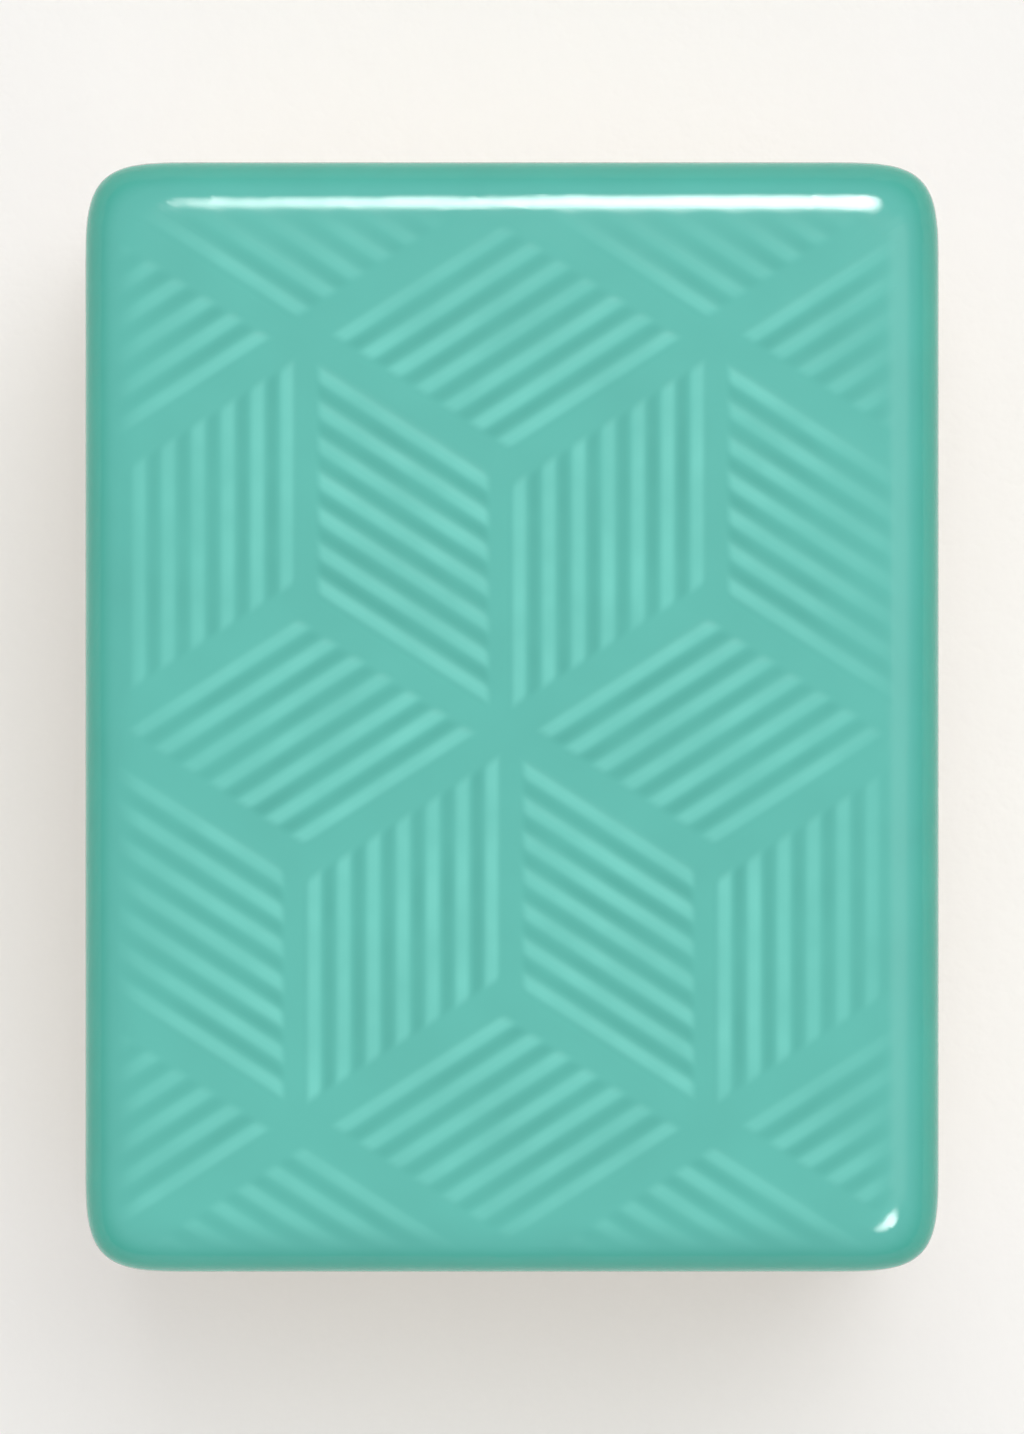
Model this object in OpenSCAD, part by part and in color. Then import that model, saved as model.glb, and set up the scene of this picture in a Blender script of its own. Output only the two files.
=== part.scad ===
// Mahjong tile, lying face down with its ridged back up.
// Two slabs of pressed melamine are bonded face to face. The back slab carries a moulded relief of
// tumbling blocks, drawn by parallel ridges. The face slab is engraved with nine circles, and every
// engraved ring and core holds its own fill of paint.
// Millimetres. +Z is up, +Y runs along the tile, and the origin is the middle of the face underneath.

/* [Tile] */
// Width of the tile, along X
tile_w = 20; // [19:0.5:32]
// Length of the tile, along Y
tile_l = 26; // [23:0.5:42]
// Thickness of the coloured back slab, without its ridges
back_t = 5.96; // [3:0.01:10]
// Thickness of the pale face slab
face_t = 10; // [4:0.1:16]
// Radius of the tile's four upright corners, seen from above
corner_r = 1.5; // [1.2:0.1:4]
// Radius that rounds the rim of the back and the rim of the face
edge_r = 1.4; // [0.6:0.1:1.4]

/* [Back relief] */
// Half the width of a diamond of the pattern, across the tile
block_half_w = 4.77; // [3:0.01:8]
// Length of an upright edge of a block, along the tile
block_edge = 6.13; // [4:0.01:10]
// How far the middle of the pattern lies left of the middle of the tile
pattern_left = 0.15; // [0:0.05:0.5]
// How far the middle of the pattern lies below the middle of the tile, seen from above
pattern_down = 0.35; // [0:0.05:0.5]
// Distance between neighbouring ridges
ridge_pitch = 0.69; // [0.5:0.01:1.2]
// Width of a ridge
ridge_w = 0.38; // [0.2:0.01:0.45]
// Height of a ridge above the slab
ridge_h = 0.04; // [0.03:0.01:0.3]
// Plain stretch between the end of a ridge and the border of its block
ridge_end_gap = 0.5; // [0.2:0.05:1]
// How far the ridges are drawn in from the rim, which makes them fade out on the rounding
ridge_draw_in = 0.16; // [0.1:0.01:0.4]

/* [Engraved face] */
// Distance between circle centres, across the tile
circle_pitch_w = 5.6; // [5:0.1:6.2]
// Distance between circle centres, along the tile
circle_pitch_l = 7.4; // [5:0.1:9.2]
// Outer diameter of an engraved ring
ring_outer_d = 4.6; // [4:0.1:4.9]
// Inner diameter of an engraved ring
ring_inner_d = 3; // [2.2:0.1:3.6]
// Diameter of an engraved core
core_d = 1.6; // [0.8:0.1:2]
// Depth of the engraving
engrave_depth = 0.5; // [0.3:0.05:1.5]
// Thickness of the paint on the floor of the engraving
paint_t = 0.3; // [0.1:0.05:0.3]
// Gap between the dried paint and the wall of the engraving
paint_gap = 0.02; // [0.01:0.01:0.05]

/* [Hidden] */
$fn = 96;

// Rows and columns of circles on the face
circle_rows = 3;
circle_columns = 3;
circle_count = circle_rows * circle_columns;
// Paint colour of each row, from the upper one down
row_colours = ["#1F4E9E", "#B3282D", "#1E7A46"];

ring_names = [for (i = [1 : circle_count]) str("paint_ring_", i)];
core_names = [for (i = [1 : circle_count]) str("paint_core_", i)];

// Cuts and ridges start this far past the face they break through
overlap = 0.1;
// Least flat that the rounding of the rim leaves beside it
least_flat = 0.1;
// Radius of the rim, limited by the corner that it runs round and by the slabs that it is cut from
rim_r = min(edge_r, min(corner_r, back_t, face_t) - least_flat);

// Spacing of the stars, the points where six ridged blocks meet
star_step_w = 2 * block_half_w;
star_step_l = 1.5 * block_edge;
// Whole rows of stars on each side of the middle, and columns enough to pass the sides
star_rows = floor((tile_l / 2 - rim_r) / star_step_l);
star_columns = ceil(tile_w / 2 / star_step_w);
// The three edges of a block that leave a star
edge_up = [0, block_edge];
edge_rise = [block_half_w, block_edge / 2];
edge_fall = [block_half_w, -block_edge / 2];

// Place of a star, with odd rows shifted by half a step
function star(column, row) = [star_step_w * column + (row % 2 == 0 ? 0 : block_half_w), star_step_l * row];

// Centre of a circle, counted along the rows from the upper left
function circle_place(index) =
    let (row = floor(index / circle_columns))
    let (column = index % circle_columns)
    [
        circle_pitch_w * (column - (circle_columns - 1) / 2),
        -circle_pitch_l * (row - (circle_rows - 1) / 2),
    ];

// Paint colour of a circle
function circle_colour(index) = row_colours[floor(index / circle_columns)];

// Upright section of a slab with a rounded upper rim, from the line x = 0 out to x = reach
module rim_section(reach, height) {
    square([reach - rim_r, height]);
    square([reach, height - rim_r]);
    translate([reach - rim_r, height - rim_r]) intersection() {
        circle(rim_r);
        square(rim_r);
    }
}

// Plate with upright rounded corners and a rounded upper rim, standing on z = 0
module rounded_plate(width, length, height, corner) {
    half_w = width / 2;
    half_l = length / 2;
    flat_w = half_w - corner;
    flat_l = half_l - corner;
    for (turn = [0, 180])
        rotate(turn) {
            rotate([90, 0, 0])
                linear_extrude(2 * flat_l, center = true)
                    rim_section(half_w, height);
            rotate(90) translate([flat_l, 0, 0]) rotate([90, 0, 0])
                linear_extrude(2 * flat_w, center = true)
                    rim_section(corner, height);
            translate([flat_w, flat_l, 0])
                rotate_extrude(angle = 90)
                    rim_section(corner, height);
            translate([-flat_w, flat_l, 0]) rotate(90)
                rotate_extrude(angle = 90)
                    rim_section(corner, height);
        }
}

// Parallel ridges that fill one block, laid along the edge "along", side by side across the edge "across"
module ridged_block(start, along, across) {
    block_w = abs(cross(along, across)) / norm(along);
    count = floor((block_w - ridge_w) / ridge_pitch) + 1;
    end = ridge_end_gap / norm(along);
    half = ridge_w / 2 / block_w;
    for (i = [0 : count - 1]) {
        middle = 0.5 + (i - (count - 1) / 2) * ridge_pitch / block_w;
        polygon([
            start + end * along + (middle - half) * across,
            start + (1 - end) * along + (middle - half) * across,
            start + (1 - end) * along + (middle + half) * across,
            start + end * along + (middle + half) * across,
        ]);
    }
}

// All ridges of the back, as a flat pattern whose middle is a star
module ridge_pattern() {
    for (row = [-star_rows : star_rows], column = [-star_columns : star_columns]) {
        here = star(column, row) - [pattern_left, pattern_down];
        ridged_block(here, edge_rise, edge_fall);
        if (row < star_rows) {
            ridged_block(here, edge_up, edge_rise);
            ridged_block(here, -edge_fall, edge_up);
        } else {
            ridged_block(here, -edge_fall, edge_rise);
        }
        if (row == -star_rows)
            ridged_block(here, edge_fall, -edge_rise);
    }
}

// Turquoise back: a rounded slab with its ridges standing on it
module back_slab() {
    color("#6CC3B6")
    translate([0, 0, face_t]) {
        rounded_plate(tile_w, tile_l, back_t, corner_r);
        intersection() {
            rounded_plate(
                tile_w - 2 * ridge_draw_in,
                tile_l - 2 * ridge_draw_in,
                back_t + ridge_h,
                corner_r
            );
            translate([0, 0, back_t - rim_r])
                linear_extrude(rim_r + ridge_h + overlap)
                    ridge_pattern();
        }
    }
}

// Pale face: the slab underneath, with its rim rounded below and its circles engraved
module face_slab() {
    color("#F2EEDF")
    difference() {
        translate([0, 0, face_t]) mirror([0, 0, 1])
            rounded_plate(tile_w, tile_l, face_t, corner_r);
        for (i = [0 : circle_count - 1])
            translate(circle_place(i)) translate([0, 0, -overlap]) {
                ring_fill(engrave_depth + overlap, 0);
                core_fill(engrave_depth + overlap, 0);
            }
    }
}

// Body of a ring, drawn in by a gap from the walls of its groove
module ring_fill(height, gap) {
    difference() {
        cylinder(height, d = ring_outer_d - 2 * gap);
        translate([0, 0, -overlap]) cylinder(height + 2 * overlap, d = ring_inner_d + 2 * gap);
    }
}

// Body of a core, drawn in by a gap from the wall of its pocket
module core_fill(height, gap) {
    cylinder(height, d = core_d - 2 * gap);
}

// Paint in one ring, lying on the floor of its groove
module paint_ring(index) {
    color(circle_colour(index))
    translate(circle_place(index)) translate([0, 0, engrave_depth - paint_t])
        ring_fill(paint_t, paint_gap);
}

// Paint in one core, lying on the floor of its pocket
module paint_core(index) {
    color(circle_colour(index))
    translate(circle_place(index)) translate([0, 0, engrave_depth - paint_t])
        core_fill(paint_t, paint_gap);
}

back_slab();
face_slab();
for (i = [0 : circle_count - 1]) {
    paint_ring(i);
    paint_core(i);
}
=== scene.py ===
"""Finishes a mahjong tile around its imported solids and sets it, face down, on a studio floor.

Everything is in metres, in the frame of the solids: +Z is up, +Y runs along the tile, and the
origin is the middle of the face that lies on the floor.
"""

import math

import bmesh
import bpy
from bpy.props import FloatProperty, FloatVectorProperty, IntProperty, PointerProperty
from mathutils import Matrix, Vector


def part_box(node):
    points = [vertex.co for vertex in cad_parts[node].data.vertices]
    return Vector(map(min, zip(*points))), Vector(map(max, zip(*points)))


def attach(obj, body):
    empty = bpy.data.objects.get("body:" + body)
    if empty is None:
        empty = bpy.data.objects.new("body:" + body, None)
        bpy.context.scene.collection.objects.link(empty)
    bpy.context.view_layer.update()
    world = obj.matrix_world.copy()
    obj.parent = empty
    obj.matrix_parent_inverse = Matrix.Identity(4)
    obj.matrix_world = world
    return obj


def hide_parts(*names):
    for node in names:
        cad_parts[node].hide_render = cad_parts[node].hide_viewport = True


bl_info = {
    "name": "Mahjong Tile",
    "version": (1, 0, 0),
    "blender": (4, 5, 0),
    "location": "View3D > Sidebar > Tile",
    "description": "Models and finishes a mahjong tile around its solids and sets it on a studio floor",
    "category": "Mesh",
}

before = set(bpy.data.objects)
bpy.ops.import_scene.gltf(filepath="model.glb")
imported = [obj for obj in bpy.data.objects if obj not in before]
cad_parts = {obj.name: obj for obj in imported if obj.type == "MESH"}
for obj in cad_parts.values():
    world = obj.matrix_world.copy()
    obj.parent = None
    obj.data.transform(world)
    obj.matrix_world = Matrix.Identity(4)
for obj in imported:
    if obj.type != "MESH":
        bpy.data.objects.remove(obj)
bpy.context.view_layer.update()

MM = 0.001
# Points closer than this are one point
WELD = 0.001 * MM

BACK_LOW, BACK_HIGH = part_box("back_slab")
HALF_W = BACK_HIGH.x
HALF_L = BACK_HIGH.y
TOP_Z = BACK_HIGH.z
BOND_Z = BACK_LOW.z
FACE_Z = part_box("face_slab")[0].z

# Circles of the face figure, counted along the rows from the upper left
CIRCLE_ROWS = 3
CIRCLE_COLUMNS = 3
CIRCLES = range(1, CIRCLE_ROWS * CIRCLE_COLUMNS + 1)


def linear(code):
    """Turns an sRGB hex colour into linear red, green and blue."""
    values = [int(code[start:start + 2], 16) / 255 for start in (1, 3, 5)]
    return tuple(v / 12.92 if v <= 0.04045 else ((v + 0.055) / 1.055) ** 2.4 for v in values)


def length(name, description, millimetres):
    """A size in the panel, given in millimetres."""
    return FloatProperty(
        name=name, description=description, default=millimetres * MM, min=0, unit="LENGTH", precision=6
    )


def amount(name, description, value, least=0, **more):
    """A number in the panel that isn't a size."""
    return FloatProperty(name=name, description=description, default=value, min=least, **more)


def colour(name, description, code):
    """A colour in the panel, given as an sRGB hex value."""
    return FloatVectorProperty(
        name=name, description=description, default=linear(code), size=3, min=0, max=1, subtype="COLOR"
    )


class TileShape(bpy.types.PropertyGroup):
    """Roundings that both slabs share."""

    corner_reach: length("Corner reach", "How far from a corner the outline starts to bend", 3.0)
    corner_power: amount("Corner power", "Squareness of the corners, from 2 for a round arc", 4.6, least=2)
    edge_r: length("Edge radius", "Radius that rounds the rims of the back and the face", 1.4)
    seam: length("Seam bevel", "Tiny bevel that the polishing leaves on each side of the bond line", 0.03)


class BackRelief(bpy.types.PropertyGroup):
    """The ridged tumbling-block pattern of the back."""

    block_half_w: length("Block half width", "Half the width of a diamond, across the tile", 4.77)
    block_edge: length("Block edge", "Length of an upright edge of a block", 6.13)
    left: length("Pattern left", "How far the middle of the pattern lies left of the tile's", 0.15)
    down: length("Pattern down", "How far the middle of the pattern lies below the tile's", 0.35)
    pitch: length("Ridge pitch", "Distance between neighbouring ridges", 0.69)
    foot: length("Ridge foot", "Width of a ridge at its foot", 0.6)
    height: length("Ridge height", "Height of a ridge above the slab", 0.024)
    end_gap: length("End gap", "Distance from the middle of a ridge's taper to the border of its block", 0.5)
    taper: length("End taper", "Length over which the end of a ridge rounds off", 0.3)
    margin: length("Margin", "Plain margin that the ridged field keeps to the tile's size", 0.8)
    fade: length("Fade", "Distance over which the ridges rise out of the margin", 0.9)
    wear_w: length("Wear width", "How far in from the margin polishing has worn the ridges down", 4.5)
    wear: amount("Wear", "Share of a ridge that polishing has taken away at the margin", 0.4, max=1)


class FaceFigure(bpy.types.PropertyGroup):
    """The engraved and painted circles of the face."""

    ring_outer_d: length("Ring outer diameter", "Outer diameter of an engraved ring", 4.6)
    ring_inner_d: length("Ring inner diameter", "Inner diameter of an engraved ring", 3.0)
    core_d: length("Core diameter", "Diameter of an engraved core", 1.6)
    depth: length("Engraving depth", "Depth of the engraving", 0.5)
    paint_t: length("Paint thickness", "Thickness of the paint on the floor of the engraving", 0.3)
    paint_gap: length("Paint gap", "Gap between the dried paint and the wall of the engraving", 0.02)
    meniscus: length("Meniscus", "How far the paint climbs the walls as it dries", 0.06)
    bevel: length("Mouth bevel", "Rounding of the mouth of the engraving", 0.06)
    steps: IntProperty(name="Steps", description="Facets round a circle", default=72, min=12)


class TileFinish(bpy.types.PropertyGroup):
    """Colours of the resins and paints, and of the painted light and shade on the back's ridges and rim."""

    back: colour("Back", "Turquoise resin of the back", "#5CBBAF")
    # Painted light: the crests are paler, where they catch more light
    crest: colour("Crest", "Paler turquoise of the crests", "#72D0C4")
    # Painted shade: the gaps between the ridges are darker, where the ridges shade each other
    gap: colour("Gap", "Deeper turquoise between the ridges", "#52B0A4")
    # Painted shade: the rim darkens to this colour as it turns down to the sides
    rim: colour("Rim", "Deepest turquoise, where the rim is polished smooth", "#30AA95")
    face: colour("Face", "Ivory resin of the face", "#F1ECDC")
    blue: colour("Blue", "Blue enamel", "#1F4E9E")
    red: colour("Red", "Red enamel", "#B3282D")
    green: colour("Green", "Green enamel", "#1E7A46")


class Studio(bpy.types.PropertyGroup):
    """Floor, lamps and camera."""

    floor: colour("Floor", "Pale white of the floor", "#F8F7F6")
    room: colour("Room", "Warm white of the room's own light", "#FFFDFB")
    horizon: amount("Horizon", "Brightness of the room at the horizon", 0.4)
    zenith: amount("Zenith", "Brightness of the room overhead", 0.9)
    key_power: amount("Key", "Power of the large lamp over the tile", 1.16, unit="POWER")
    fill_power: amount("Fill", "Power of the weak lamp in front of the tile", 0.12, unit="POWER")
    card_light: amount("Cards", "Brightness of the cards that the gloss mirrors", 22)
    lens: amount("Lens", "Focal length of the camera", 200, least=1, unit="CAMERA")
    tile_share: amount("Tile share", "Share of the picture's width that the tile fills", 0.84, max=1)


class TileSettings(bpy.types.PropertyGroup):
    """All settings of the tile."""

    shape: PointerProperty(type=TileShape)
    relief: PointerProperty(type=BackRelief)
    figure: PointerProperty(type=FaceFigure)
    finish: PointerProperty(type=TileFinish)
    studio: PointerProperty(type=Studio)


# Cutting and rounding

# Wedges that a corner is cut into
CORNER_WEDGES = 16
# Turns of the rim, in degrees, that are cut into the ridged top, and those of the plain rim below it
TOP_TURNS = (0, 8, 16, 24, 32, 40, 48)
LOW_TURNS = (56, 64, 72, 81, 90)
# Edges that bend by more than this are shaded as sharp ones
SHARP_ANGLE = math.radians(40)


def parts_of(faces):
    """Faces with their edges and vertices, in a fixed order, as the cutting operator takes them."""
    edges = dict.fromkeys(edge for face in faces for edge in face.edges)
    verts = dict.fromkeys(vert for face in faces for vert in face.verts)
    return [*verts, *edges, *faces]


def cut(bm, faces, point, normal):
    """Cuts faces along a plane and returns the faces on both sides of it."""
    made = bmesh.ops.bisect_plane(bm, geom=parts_of(faces), dist=WELD, plane_co=point, plane_no=normal)
    return [part for part in made["geom"] if isinstance(part, bmesh.types.BMFace)]


def core_half(shape):
    """Half sizes of the core rectangle, whose corners are the middles of the outline's rounded corners."""
    return HALF_W - shape.corner_reach, HALF_L - shape.corner_reach


def outline_at(point, shape):
    """Nearest point of the core rectangle, the way from it to a point, and its share of the way out."""
    core_x, core_y = core_half(shape)
    core = Vector((max(-core_x, min(core_x, point.x)), max(-core_y, min(core_y, point.y)), 0))
    away = Vector((point.x, point.y, 0)) - core
    power = shape.corner_power
    share = (abs(away.x) ** power + abs(away.y) ** power) ** (1 / power) / shape.corner_reach
    return core, away, share


def inset_at(point, shape):
    """Depth of a point inside the outline."""
    return shape.corner_reach * (1 - outline_at(point, shape)[2])


def way_out(point, shape):
    """Level direction that leads from a point straight out of the outline."""
    away = outline_at(point, shape)[1] / shape.corner_reach
    power = shape.corner_power - 1
    x = math.copysign(abs(away.x) ** power, away.x)
    y = math.copysign(abs(away.y) ** power, away.y)
    return Vector((x, y, 0)).normalized()


def corner_turns(shape):
    """Directions of a corner's wedges, between which the outline turns by equal angles."""
    power = 1 / (shape.corner_power - 1)
    turns = [math.pi / 2 * wedge / CORNER_WEDGES for wedge in range(1, CORNER_WEDGES)]
    between = [math.atan2(math.sin(turn) ** power, math.cos(turn) ** power) for turn in turns]
    return [0, *between, math.pi / 2]


def move_to(vert, shape, inset, height):
    """Moves a point out or in to a depth inside the outline, and to a height."""
    core, away, share = outline_at(vert.co, shape)
    vert.co = core + away * ((1 - inset / shape.corner_reach) / share)
    vert.co.z = height


def rim_inset(angle, shape):
    """Depth inside the outline where the rim has turned by an angle from the flat."""
    return shape.edge_r * (1 - math.sin(angle))


def rim_drop(angle, shape):
    """Height that the rim has lost where it has turned by an angle from the flat."""
    return shape.edge_r * (1 - math.cos(angle))


def boundary(bm):
    """Edges that have a face on one side only."""
    return [edge for edge in bm.edges if edge.is_boundary]


def add_outline(bm, shape, inset, height):
    """Lays a closed line at a depth inside the outline and a height, and returns its edges."""
    core_x, core_y = core_half(shape)
    verts = []
    for side_x, side_y in ((1, 1), (-1, 1), (-1, -1), (1, -1)):
        turns = corner_turns(shape)
        if side_x != side_y:
            turns.reverse()
        for turn in turns:
            x = side_x * (core_x + shape.corner_reach * math.cos(turn))
            y = side_y * (core_y + shape.corner_reach * math.sin(turn))
            vert = bm.verts.new((x, y, height))
            move_to(vert, shape, inset, height)
            verts.append(vert)
    return [bm.edges.new(pair) for pair in zip(verts, verts[1:] + verts[:1])]


def add_ring(bm, edges, shape, inset, height):
    """Extrudes a boundary to a ring at a depth inside the outline and a height, and returns its edges."""
    made = bmesh.ops.extrude_edge_only(bm, edges=edges)["geom"]
    for part in made:
        if isinstance(part, bmesh.types.BMVert):
            move_to(part, shape, inset, height)
    return [part for part in made if isinstance(part, bmesh.types.BMEdge)]


def close_slab(bm, edges, shape, angles, crown_z, bond_z):
    """Runs a boundary round the rim, down the side to the bond, and closes the slab with a flat face."""
    side = 1 if crown_z > bond_z else -1
    for angle in angles:
        edges = add_ring(bm, edges, shape, rim_inset(angle, shape), crown_z - side * rim_drop(angle, shape))
    edges = add_ring(bm, edges, shape, 0, bond_z + side * shape.seam)
    edges = add_ring(bm, edges, shape, shape.seam, bond_z)
    bmesh.ops.edgeloop_fill(bm, edges=edges)


def keep_mesh(bm, name):
    """Turns a shape into a mesh and frees it."""
    mesh = bpy.data.meshes.new(name)
    bm.to_mesh(mesh)
    bm.free()
    return mesh


def finish_piece(bm, name, node, material):
    """Turns a closed shape into a piece that rides on the tile and stands for its solid."""
    bmesh.ops.remove_doubles(bm, verts=bm.verts, dist=WELD)
    bmesh.ops.recalc_face_normals(bm, faces=bm.faces)
    mesh = keep_mesh(bm, name)
    mesh.shade_smooth()
    mesh.set_sharp_from_angle(angle=SHARP_ANGLE)
    mesh.materials.append(material)
    piece = bpy.data.objects.new(name, mesh)
    bpy.context.scene.collection.objects.link(piece)
    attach(piece, "root")
    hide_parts(node)


# Back slab

# Cuts across a ridge, as shares of half its foot
RIDGE_STEPS = (0, 0.2, 0.4, 0.6, 0.8, 1)
# Cuts near a ridge's end, as shares of its taper
TAPER_STEPS = (0, 0.2, 0.4, 0.6, 0.8, 1)
# Plain margin that the ridged field keeps round its ridges
FIELD_MARGIN = 0.005 * MM
# Value of plain resin on the scale of the ridges' painted light and shade, halfway from the most shaded
# gap, 0, to the most lit crest, 1
PLAIN_SHADING = 0.5
# Where the painted light on a crest starts to fade and over what width, as shares of half a ridge's foot
CREST_END = 0.2
CREST_FADE = 0.55
# Where the painted shade in a gap starts to show and over what width, as shares of half a ridge's foot
GAP_START = 0.6
GAP_FADE = 0.4


def ease(share):
    """A smooth step from 0 to 1."""
    share = max(0, min(1, share))
    return share * share * (3 - 2 * share)


def ridge_profile(share):
    """Height of a ridge, from 1 on its crest to 0 at its foot, across half its width."""
    return math.cos(math.pi / 2 * min(1, share)) ** 2


def painted_ridge_shading(share, between):
    """Painted light and shade across a ridge: lighter on the crest, darker between two ridges."""
    crest_light = 1 - ease((share - CREST_END) / CREST_FADE)
    gap_shade = ease((share - GAP_START) / GAP_FADE) if between else 0
    return (crest_light - gap_shade) / 2


def model_block(along, across, relief):
    """One block of the pattern, flat: a plain border round a field of ridges along its first edge."""
    bm = bmesh.new()
    ridge_shading = bm.verts.layers.float.new("ridge_shading")
    border = (Vector(), along, along + across, across)
    field = bm.faces.new([bm.verts.new(corner) for corner in border])
    bmesh.ops.inset_individual(bm, faces=[field], thickness=relief.end_gap / 2)
    run = along.normalized()
    square = across - run * across.dot(run)
    block_w = square.length
    square.normalize()
    count = math.floor((block_w - relief.foot) / relief.pitch) + 1
    offsets = [(index - (count - 1) / 2) * relief.pitch for index in range(count)]
    centre = across / 2
    reach = across * ((offsets[-1] + relief.foot / 2 + FIELD_MARGIN) / block_w)
    ridge_start = relief.end_gap - relief.taper / 2
    start = run * (ridge_start - FIELD_MARGIN)
    near = centre - reach
    far = centre + reach
    corners = (near + start, near + along - start, far + along - start, far + start)
    for vert, corner in zip(field.verts, corners):
        vert.co = corner
    steps = [side * share * relief.foot / 2 for share in RIDGE_STEPS for side in (-1, 1)]
    lines = [offset + step for offset in offsets for step in steps]
    lines += [offset + relief.pitch / 2 for offset in offsets[:-1]]
    faces = [field]
    for line in lines:
        faces = cut(bm, faces, centre + square * line, square)
    end_square = Vector((-across.y, across.x, 0)).normalized()
    for share in TAPER_STEPS:
        step = run * (ridge_start + share * relief.taper)
        faces = cut(bm, faces, step, end_square)
        faces = cut(bm, faces, along - step, end_square)
    for vert in bm.verts:
        vert[ridge_shading] = PLAIN_SHADING
    # Paints light on the crests and shade in the gaps, faded out towards the ridges' tapered ends
    for vert in dict.fromkeys(vert for face in faces for vert in face.verts):
        offset = (vert.co - centre).dot(square)
        travel = (vert.co - across * (0.5 + offset / block_w)).dot(run)
        tapered = ease((min(travel, along.length - travel) - ridge_start) / relief.taper)
        share = min(abs(offset - place) for place in offsets) / (relief.foot / 2)
        vert[ridge_shading] += painted_ridge_shading(share, abs(offset) < offsets[-1]) * tapered
        vert.co.z = relief.height * ridge_profile(share) * tapered
    return keep_mesh(bm, "block")


def model_plain_block(along, across):
    """One block of the pattern with no ridges."""
    bm = bmesh.new()
    ridge_shading = bm.verts.layers.float.new("ridge_shading")
    bm.faces.new([bm.verts.new(corner) for corner in (Vector(), along, along + across, across)])
    for vert in bm.verts:
        vert[ridge_shading] = PLAIN_SHADING
    return keep_mesh(bm, "plain_block")


def lay_pattern(bm, relief):
    """Lays ridged blocks side by side round the stars of the pattern, from side to side of the tile."""
    rise = Vector((relief.block_half_w, relief.block_edge / 2, 0))
    fall = Vector((relief.block_half_w, -relief.block_edge / 2, 0))
    upright = Vector((0, relief.block_edge, 0))
    lying = model_block(rise, fall, relief)
    right = model_block(upright, rise, relief)
    left = model_block(-fall, upright, relief)
    end = model_block(-fall, rise, relief)
    plain = model_plain_block(-fall, rise)
    step_w = 2 * relief.block_half_w
    step_l = 1.5 * relief.block_edge
    rows = math.floor((HALF_L - relief.end_gap) / step_l)
    columns = math.ceil(HALF_W / step_w)
    for row in range(-rows, rows + 1):
        for column in range(-columns, columns + 1):
            shift = relief.block_half_w if row % 2 else 0
            star = Vector((step_w * column + shift - relief.left, step_l * row - relief.down, 0))
            laid = [(lying, star)]
            if row < rows:
                laid += [(right, star), (left, star)]
            else:
                laid += [(end, star), (plain, star + rise)]
            if row == -rows:
                laid += [(end, star - upright), (plain, star - 2 * upright + rise)]
            for mesh, place in laid:
                before = len(bm.verts)
                bm.from_mesh(mesh)
                bm.verts.ensure_lookup_table()
                bmesh.ops.translate(bm, verts=bm.verts[before:], vec=place)
    bmesh.ops.remove_doubles(bm, verts=bm.verts, dist=WELD)
    for mesh in (lying, right, left, end, plain):
        bpy.data.meshes.remove(mesh)


def faces_beyond(bm, way, reach):
    """Faces whose middle lies further than a reach in a direction."""
    return [face for face in bm.faces if face.calc_center_median().dot(way) > reach]


def cut_rim(bm, shape):
    """Trims the flat pattern to the tile's outline and cuts it along the turns of the rim."""
    core_x, core_y = core_half(shape)
    insets = [rim_inset(math.radians(turn), shape) for turn in TOP_TURNS]
    right = Vector((1, 0, 0))
    up = Vector((0, 1, 0))
    sides = ((right, HALF_W, core_x), (-right, HALF_W, core_x), (up, HALF_L, core_y), (-up, HALF_L, core_y))
    for way, half, core in sides:
        edge = way * (half - insets[-1])
        bmesh.ops.bisect_plane(
            bm, geom=parts_of(bm.faces), dist=WELD, plane_co=edge, plane_no=way, clear_outer=True
        )
        cut(bm, list(bm.faces), way * core, way)
    for way, half, core in sides:
        aside = Vector((way.y, way.x, 0))
        limit = core_y if way.x else core_x
        strip = [
            face for face in faces_beyond(bm, way, core)
            if abs(face.calc_center_median().dot(aside)) < limit
        ]
        for inset in insets[:-1]:
            strip = cut(bm, strip, way * (half - inset), way)
    for side_x in (-1, 1):
        for side_y in (-1, 1):
            cut_corner(bm, shape, insets, side_x, side_y)


def cut_corner(bm, shape, insets, side_x, side_y):
    """Cuts one corner of the flat pattern into wedges and rings, and clears what lies outside it."""
    core_x, core_y = core_half(shape)
    centre = Vector((side_x * core_x, side_y * core_y, 0))
    turns = corner_turns(shape)
    rays = [Vector((side_x * math.cos(turn), side_y * math.sin(turn), 0)) for turn in turns]
    outs = [ray / outline_at(centre + ray, shape)[2] for ray in rays]
    faces = [
        face for face in faces_beyond(bm, Vector((side_x, 0, 0)), core_x)
        if face.calc_center_median().y * side_y > core_y
    ]
    for ray in rays[1:-1]:
        faces = cut(bm, faces, centre, Vector((-ray.y, ray.x, 0)))
    wedges = [[] for _ in rays[1:]]
    for face in faces:
        away = face.calc_center_median() - centre
        turn = math.atan2(away.y * side_y, away.x * side_x)
        wedges[sum(turn > limit for limit in turns[1:-1])].append(face)
    outside = []
    for wedge, first, second in zip(wedges, outs, outs[1:]):
        square = Vector((first.y - second.y, second.x - first.x, 0)).normalized()
        if square.dot(first) < 0:
            square.negate()
        for inset in insets:
            ring = centre + first * (1 - inset / shape.corner_reach)
            wedge = cut(bm, wedge, ring, square)
        outside += [face for face in wedge if (face.calc_center_median() - ring).dot(square) > 0]
    bmesh.ops.delete(bm, geom=outside, context="FACES")


def ridge_kept(point, relief):
    """Share of a ridge that is left at a point, from 0 in the field's margin to 1 well inside it."""
    inside = min(HALF_W - abs(point.x + relief.left), HALF_L - abs(point.y + relief.down)) - relief.margin
    worn = relief.wear * (1 - ease(inside / relief.wear_w))
    return (1 - worn) * ease(inside / relief.fade)


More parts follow.
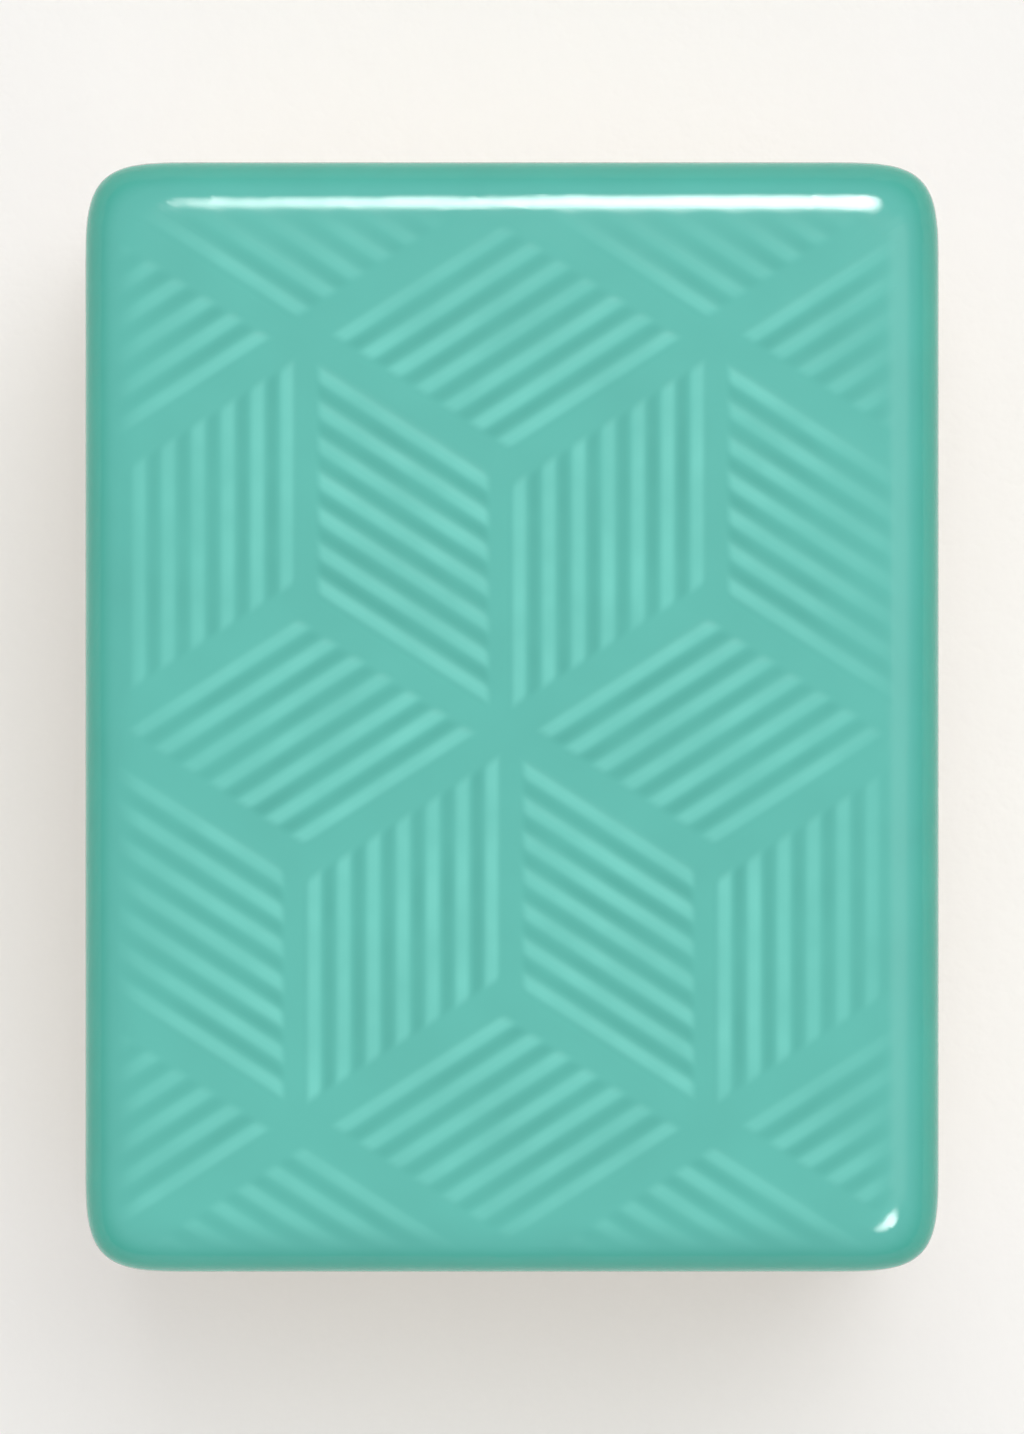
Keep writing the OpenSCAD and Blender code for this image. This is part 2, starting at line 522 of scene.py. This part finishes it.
def wrap_crown(bm, shape, relief):
    """Wraps the flat pattern over the slab's crown, with its ridges worn down towards the rim."""
    ridge_shading = bm.verts.layers.float["ridge_shading"]
    ground = TOP_Z - relief.height
    for vert in bm.verts:
        inset = inset_at(vert.co, shape)
        turn = math.asin(max(0, 1 - inset / shape.edge_r))
        kept = ridge_kept(vert.co, relief)
        ridge = vert.co.z * kept
        # The painted light and shade of the ridges fade with the ridges
        vert[ridge_shading] = PLAIN_SHADING + (vert[ridge_shading] - PLAIN_SHADING) * kept
        vert.co += way_out(vert.co, shape) * math.sin(turn) * ridge
        vert.co.z = ground - rim_drop(turn, shape) + math.cos(turn) * ridge


def mark_rim(bm, shape):
    """Marks how far each point has turned into the rim, from 0 on the flat to 1 on the sides."""
    rim = bm.verts.layers.float.new("rim")
    for vert in bm.verts:
        vert[rim] = max(0, min(1, 1 - inset_at(vert.co, shape) / shape.edge_r))


class TILE_OT_back_slab(bpy.types.Operator):
    """Models the turquoise back slab with its moulded ridges"""

    bl_idname = "tile.back_slab"
    bl_label = "Back Slab"

    def execute(self, context):
        tile = context.scene.mahjong_tile
        bm = bmesh.new()
        lay_pattern(bm, tile.relief)
        cut_rim(bm, tile.shape)
        wrap_crown(bm, tile.shape, tile.relief)
        angles = [math.radians(turn) for turn in LOW_TURNS]
        close_slab(bm, boundary(bm), tile.shape, angles, TOP_Z - tile.relief.height, BOND_Z)
        mark_rim(bm, tile.shape)
        finish_piece(bm, "turquoise_back", "back_slab", turquoise_melamine(tile.finish))
        return {"FINISHED"}


# Face slab and its paint

# Middle of the rounded mouth of an engraving, as a share of its bevel
MOUTH_MIDDLE = 0.3
# Points across the surface of a fill of paint, as shares of half its width
SURFACE_STEPS = (-1, -0.75, -0.5, -0.25, 0, 0.25, 0.5, 0.75, 1)


def circle_centre(number):
    """Centre of a painted circle, from the box of its ring."""
    low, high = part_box("paint_ring_%d" % number)
    middle = (low + high) / 2
    return Vector((middle.x, middle.y, FACE_Z))


def spin_profile(bm, centre, profile, steps, closed):
    """Spins a profile of radius and height round the upright axis through a centre."""
    verts = [bm.verts.new(centre + Vector((radius, 0, height))) for radius, height in profile]
    pairs = list(zip(verts, verts[1:]))
    if closed:
        pairs.append((verts[-1], verts[0]))
    edges = [bm.edges.new(pair) for pair in pairs]
    bmesh.ops.spin(
        bm, geom=[*verts, *edges], cent=centre, axis=(0, 0, 1), angle=math.tau, steps=steps, use_merge=True
    )


def engraving_profile(figure):
    """Radius and height of a circle's engraving, from its outer mouth to the middle of its core."""
    middle = figure.bevel * MOUTH_MIDDLE

    def wall(radius, side):
        mouth = [(radius + side * figure.bevel, 0), (radius + side * middle, middle)]
        return [*mouth, (radius, figure.bevel), (radius, figure.depth)]

    outer = wall(figure.ring_outer_d / 2, 1)
    inner = wall(figure.ring_inner_d / 2, -1)
    core = wall(figure.core_d / 2, 1)
    return [*outer, *reversed(inner), *core, (0, figure.depth)]


class TILE_OT_face_slab(bpy.types.Operator):
    """Models the ivory face slab with its engraved circles"""

    bl_idname = "tile.face_slab"
    bl_label = "Face Slab"

    def execute(self, context):
        tile = context.scene.mahjong_tile
        shape = tile.shape
        bm = bmesh.new()
        for number in CIRCLES:
            spin_profile(bm, circle_centre(number), engraving_profile(tile.figure), tile.figure.steps, False)
        bmesh.ops.remove_doubles(bm, verts=bm.verts, dist=WELD)
        circles = boundary(bm)
        outline = add_outline(bm, shape, shape.edge_r, FACE_Z)
        bmesh.ops.triangle_fill(bm, use_beauty=True, edges=[*circles, *outline], normal=(0, 0, -1))
        angles = [math.radians(turn) for turn in (*TOP_TURNS[1:], *LOW_TURNS)]
        close_slab(bm, outline, shape, angles, FACE_Z, BOND_Z)
        finish_piece(bm, "ivory_face", "face_slab", ivory_melamine(tile.finish))
        return {"FINISHED"}


def fill_profile(inner, outer, figure):
    """Radius and height round a fill of paint, whose lower surface sags between the walls it climbs."""
    middle = (inner + outer) / 2
    half = (outer - inner) / 2
    low = figure.depth - figure.paint_t
    surface = [
        (middle + half * share, low + figure.meniscus * (1 - share * share)) for share in SURFACE_STEPS
    ]
    return [*surface, (outer, figure.depth), (inner, figure.depth)]


class TILE_OT_paint(bpy.types.Operator):
    """Models the enamel that fills each engraved ring and core"""

    bl_idname = "tile.paint"
    bl_label = "Paint"

    def execute(self, context):
        tile = context.scene.mahjong_tile
        figure = tile.figure
        colours = (("blue", tile.finish.blue), ("red", tile.finish.red), ("green", tile.finish.green))
        enamels = [enamel(name, tint) for name, tint in colours]
        ring_inner = figure.ring_inner_d / 2 + figure.paint_gap
        ring_outer = figure.ring_outer_d / 2 - figure.paint_gap
        core_outer = figure.core_d / 2 - figure.paint_gap
        ring = fill_profile(ring_inner, ring_outer, figure)
        across_core = fill_profile(-core_outer, core_outer, figure)
        core = [*(point for point in across_core if point[0] >= 0), (0, figure.depth)]
        for number in CIRCLES:
            row = (number - 1) // CIRCLE_COLUMNS
            bm = bmesh.new()
            spin_profile(bm, circle_centre(number), ring, figure.steps, True)
            finish_piece(bm, "ring_fill_%d" % number, "paint_ring_%d" % number, enamels[row])
            bm = bmesh.new()
            spin_profile(bm, circle_centre(number), core, figure.steps, False)
            finish_piece(bm, "core_fill_%d" % number, "paint_core_%d" % number, enamels[row])
        return {"FINISHED"}


# Materials

# How strongly the resin and the dried enamel bend light
MELAMINE_IOR = 1.58
ENAMEL_IOR = 1.5
# Mirroring of the ridged back, a little weaker than that of bare resin
BACK_SPECULAR = 0.33
# Shares of the rim where its polish starts and is complete, and where its painted shade starts
POLISH_START = 0.1
POLISH_END = 0.4
RIM_SHADE_START = 0.45
# Roughness of the polished rim
RIM_ROUGHNESS = 0.07
# Two values that a noise seldom leaves, and its detail
NOISE_LOW = 0.3
NOISE_HIGH = 0.7
NOISE_DETAIL = 2


def add_node(tree, kind, inputs=None, **settings):
    """Adds a node, sets its properties, and sets each input to a value or links it to a socket."""
    made = tree.nodes.new(kind)
    for name, value in settings.items():
        setattr(made, name, value)
    for name, value in (inputs or {}).items():
        if isinstance(value, bpy.types.NodeSocket):
            tree.links.new(value, made.inputs[name])
        else:
            made.inputs[name].default_value = value
    return made


def new_material(name):
    """A new material, its empty node tree, and the place on the piece that its noises follow."""
    material = bpy.data.materials.new(name)
    material.use_nodes = True
    tree = material.node_tree
    tree.nodes.clear()
    place = add_node(tree, "ShaderNodeTexCoord").outputs["Object"]
    return material, tree, place


def show(tree, inputs):
    """Feeds a surface shader and links it to the tree's output."""
    shader = add_node(tree, "ShaderNodeBsdfPrincipled", inputs)
    add_node(tree, "ShaderNodeOutputMaterial", {"Surface": shader.outputs["BSDF"]})


def attribute(tree, name):
    """A value that every point of the mesh carries."""
    return add_node(tree, "ShaderNodeAttribute", attribute_name=name).outputs["Fac"]


def smooth_step(tree, value, start, end):
    """A smooth step from 0, where a value is at its start, to 1 at its end."""
    limits = {"Value": value, "From Min": start, "From Max": end}
    return add_node(tree, "ShaderNodeMapRange", limits, interpolation_type="SMOOTHSTEP").outputs["Result"]


def mix(tree, share, first, second):
    """A colour that goes from a first to a second one."""
    inputs = {"Factor": share, "A": first, "B": second}
    return add_node(tree, "ShaderNodeMix", inputs, data_type="RGBA").outputs["Result"]


def drift(tree, place, size, low, high):
    """A soft random drift that seldom leaves two values, in patches of about a given size."""
    noise = add_node(
        tree, "ShaderNodeTexNoise", {"Vector": place, "Scale": 1 / size, "Detail": NOISE_DETAIL}
    )
    limits = {
        "Value": noise.outputs["Fac"],
        "From Min": NOISE_LOW,
        "From Max": NOISE_HIGH,
        "To Min": low,
        "To Max": high,
    }
    return add_node(tree, "ShaderNodeMapRange", limits, clamp=False).outputs["Result"]


def clouded(tree, place, tint, size, low, high):
    """A colour that is a little darker and paler by turns, in patches of about a given size."""
    value = drift(tree, place, size, low, high)
    return add_node(tree, "ShaderNodeHueSaturation", {"Color": tint, "Value": value}).outputs["Color"]


def uneven(tree, place, size, depth):
    """A surface that rises and falls softly by a depth, in patches of about a given size."""
    height = drift(tree, place, size, 0, 1)
    inputs = {"Height": height, "Distance": depth, "Strength": 1}
    return add_node(tree, "ShaderNodeBump", inputs).outputs["Normal"]


def turquoise_melamine(finish):
    """Melamine resin, pressed in a ridged mould and tumbled: dense, glossy and evenly coloured.

    The mould leaves the whole back satin. Its ridges carry painted light on their crests and painted shade
    in the gaps between them. Tumbling polishes the rim, painted shade darkens it to a deeper turquoise, and
    the filler clouds it very faintly.
    """
    material, tree, place = new_material("pressed_turquoise_melamine")
    # Painted light and shade of the ridges: darker gaps, paler crests, plain resin between
    shading_colours = add_node(tree, "ShaderNodeValToRGB", {"Fac": attribute(tree, "ridge_shading")})
    shading_colours.color_ramp.elements[0].color = (*finish.gap, 1)
    shading_colours.color_ramp.elements[1].color = (*finish.crest, 1)
    shading_colours.color_ramp.elements.new(PLAIN_SHADING).color = (*finish.back, 1)
    # The painted ridge shading fades at random, in patches, towards the plain colour
    shading_fade_share = drift(tree, place, size=1.6 * MM, low=0, high=0.4)
    worn = mix(tree, shading_fade_share, shading_colours.outputs["Color"], (*finish.back, 1))
    rim = attribute(tree, "rim")
    # Painted shade: the rim darkens to a deeper turquoise as it turns down to the sides
    tint = mix(tree, smooth_step(tree, rim, RIM_SHADE_START, 1), worn, (*finish.rim, 1))
    polish = {
        "Value": rim,
        "From Min": POLISH_START,
        "From Max": POLISH_END,
        "To Min": drift(tree, place, size=1.1 * MM, low=0.12, high=0.16),
        "To Max": RIM_ROUGHNESS,
    }
    show(tree, {
        "Base Color": clouded(tree, place, tint, size=2.2 * MM, low=0.975, high=1.025),
        "Roughness": add_node(tree, "ShaderNodeMapRange", polish).outputs["Result"],
        "IOR": MELAMINE_IOR,
        "Specular IOR Level": BACK_SPECULAR,
        "Normal": uneven(tree, place, size=1.3 * MM, depth=0.004 * MM),
    })
    return material


def ivory_melamine(finish):
    """Melamine resin, pressed and tumbled: dense and glossy, warm white with a faint cloud of its filler."""
    material, tree, place = new_material("pressed_ivory_melamine")
    show(tree, {
        "Base Color": clouded(tree, place, (*finish.face, 1), size=2.6 * MM, low=0.985, high=1.01),
        "Roughness": drift(tree, place, size=1.1 * MM, low=0.14, high=0.19),
        "IOR": MELAMINE_IOR,
        "Normal": uneven(tree, place, size=1.3 * MM, depth=0.004 * MM),
    })
    return material


def enamel(name, tint):
    """Enamel, brushed into the engraving by hand: glossy, thicker and deeper in some places."""
    material, tree, place = new_material("brushed_enamel_" + name)
    show(tree, {
        "Base Color": clouded(tree, place, (*tint, 1), size=0.5 * MM, low=0.88, high=1.1),
        "Roughness": drift(tree, place, size=0.6 * MM, low=0.2, high=0.36),
        "IOR": ENAMEL_IOR,
        "Normal": uneven(tree, place, size=0.4 * MM, depth=0.01 * MM),
    })
    return material


def white_paper(studio):
    """Matt white background paper, with a grain that only shows when the light grazes it."""
    material, tree, place = new_material("matt_white_paper")
    show(tree, {
        "Base Color": (*studio.floor, 1),
        "Roughness": 1,
        "Specular IOR Level": 0,
        "Normal": uneven(tree, place, size=0.4 * MM, depth=0.01 * MM),
    })
    return material


# Stage

# Half the size of the floor
FLOOR_HALF = 1.5
# Shape of the picture that the camera frames the tile for
PICTURE_W = 1024
PICTURE_H = 1434
# Distance of every lamp and card from the tile
LAMP_REACH = 0.6
# Ways from the tile to the two lamps that light it, and the diameter of both
KEY_WAY = (0.17, 0.42, 1)
FILL_WAY = (0, -1, 0.7)
SOFTBOX_D = 0.4
# Cards that only the gloss mirrors: name, way from the tile, width, length, and share of card_light
CARDS = (
    ("back_card", (0.14, 0.72, 1), 0.29, 0.44, 1.3),
    ("corner_card", (0.53, -0.53, 1), 0.34, 0.22, 1),
    ("side_card", (0.76, 0.1, 1), 0.5, 0.6, 0.055),
)
# Middle of a card, and how far from it the card is dark and how far it is bright, as shares of its size
CARD_MIDDLE = (0.5, 0.5, 0)
GLOW_END = 0.5
GLOW_FULL = 0.15


def add_lamp(name, way, size_w, size_l, power):
    """A soft lamp that looks at the tile from a direction."""
    lamp = bpy.data.lights.new(name, "AREA")
    lamp.shape = "ELLIPSE"
    lamp.size = size_w
    lamp.size_y = size_l
    lamp.energy = power
    holder = bpy.data.objects.new(name, lamp)
    holder.location = Vector(way).normalized() * LAMP_REACH
    holder.rotation_euler = (-Vector(way)).to_track_quat("-Z", "Y").to_euler()
    holder.visible_camera = False
    bpy.context.scene.collection.objects.link(holder)
    return holder


def add_card(name, way, size_w, size_l, light):
    """A card that only the gloss mirrors, bright in its middle and dark at its edge."""
    area = math.pi / 4 * size_w * size_l
    card = add_lamp(name, way, size_w, size_l, light * math.pi * area)
    card.visible_diffuse = False
    card.data.use_nodes = True
    tree = card.data.node_tree
    tree.nodes.clear()
    spot = add_node(tree, "ShaderNodeNewGeometry").outputs["Parametric"]
    off = add_node(tree, "ShaderNodeVectorMath", {0: spot, 1: CARD_MIDDLE}, operation="DISTANCE")
    glow = smooth_step(tree, off.outputs["Value"], GLOW_END, GLOW_FULL)
    shine = add_node(tree, "ShaderNodeEmission", {"Strength": glow})
    add_node(tree, "ShaderNodeOutputLight", {"Surface": shine.outputs["Emission"]})


class TILE_OT_stage(bpy.types.Operator):
    """Sets up the floor, the room's light, the lamps and the camera"""

    bl_idname = "tile.stage"
    bl_label = "Stage"

    def execute(self, context):
        studio = context.scene.mahjong_tile.studio
        self.add_floor(context.scene, studio)
        self.add_room(context.scene, studio)
        key = add_lamp("key_softbox", KEY_WAY, SOFTBOX_D, SOFTBOX_D, studio.key_power)
        fill = add_lamp("fill_softbox", FILL_WAY, SOFTBOX_D, SOFTBOX_D, studio.fill_power)
        key.visible_glossy = False
        fill.visible_glossy = False
        for name, way, size_w, size_l, share in CARDS:
            add_card(name, way, size_w, size_l, studio.card_light * share)
        self.add_camera(context.scene, studio)
        return {"FINISHED"}

    def add_floor(self, scene, studio):
        """A plain sheet of white paper under the tile."""
        bm = bmesh.new()
        bmesh.ops.create_grid(bm, x_segments=1, y_segments=1, size=FLOOR_HALF)
        mesh = keep_mesh(bm, "floor")
        mesh.materials.append(white_paper(studio))
        floor = bpy.data.objects.new("floor", mesh)
        scene.collection.objects.link(floor)

    def add_room(self, scene, studio):
        """A room that is bright overhead and darker all round."""
        world = bpy.data.worlds.new("room")
        world.use_nodes = True
        tree = world.node_tree
        tree.nodes.clear()
        way = add_node(tree, "ShaderNodeTexCoord").outputs["Generated"]
        height = add_node(tree, "ShaderNodeSeparateXYZ", {"Vector": way}).outputs["Z"]
        light = add_node(
            tree, "ShaderNodeMapRange", {"Value": height, "To Min": studio.horizon, "To Max": studio.zenith}
        )
        shine = add_node(
            tree, "ShaderNodeBackground", {"Color": (*studio.room, 1), "Strength": light.outputs["Result"]}
        )
        add_node(tree, "ShaderNodeOutputWorld", {"Surface": shine.outputs["Background"]})
        scene.world = world

    def add_camera(self, scene, studio):
        """A camera straight above the tile, with the tile's length upright in the picture."""
        data = bpy.data.cameras.new("camera")
        data.lens = studio.lens
        camera = bpy.data.objects.new("camera", data)
        # The sensor's width lies along the taller side of the picture
        view_h = 2 * HALF_W / studio.tile_share * PICTURE_H / PICTURE_W
        camera.location = (0, 0, TOP_Z + view_h * data.lens / data.sensor_width)
        scene.collection.objects.link(camera)
        scene.camera = camera
        scene.view_settings.view_transform = "Standard"


class VIEW3D_PT_mahjong_tile(bpy.types.Panel):
    """Lists the tile's operators and settings"""

    bl_label = "Mahjong Tile"
    bl_space_type = "VIEW_3D"
    bl_region_type = "UI"
    bl_category = "Tile"

    def draw(self, context):
        tile = context.scene.mahjong_tile
        for operator in OPERATORS:
            self.layout.operator(operator.bl_idname)
        for group in (tile.shape, tile.relief, tile.figure, tile.finish, tile.studio):
            box = self.layout.box()
            for name in group.bl_rna.properties.keys():
                if name not in ("rna_type", "name"):
                    box.prop(group, name)


OPERATORS = (TILE_OT_back_slab, TILE_OT_face_slab, TILE_OT_paint, TILE_OT_stage)
GROUPS = (TileShape, BackRelief, FaceFigure, TileFinish, Studio, TileSettings)
CLASSES = (*GROUPS, *OPERATORS, VIEW3D_PT_mahjong_tile)


def register():
    """Registers the classes and hangs the settings on the scene."""
    for item in CLASSES:
        bpy.utils.register_class(item)
    bpy.types.Scene.mahjong_tile = PointerProperty(type=TileSettings)


def unregister():
    """Takes the settings and the classes away again."""
    del bpy.types.Scene.mahjong_tile
    for item in reversed(CLASSES):
        bpy.utils.unregister_class(item)


def main():
    """Builds the pieces and the stage."""
    register()
    bpy.ops.tile.back_slab()
    bpy.ops.tile.face_slab()
    bpy.ops.tile.paint()
    bpy.ops.tile.stage()


if __name__ == "__main__":
    main()
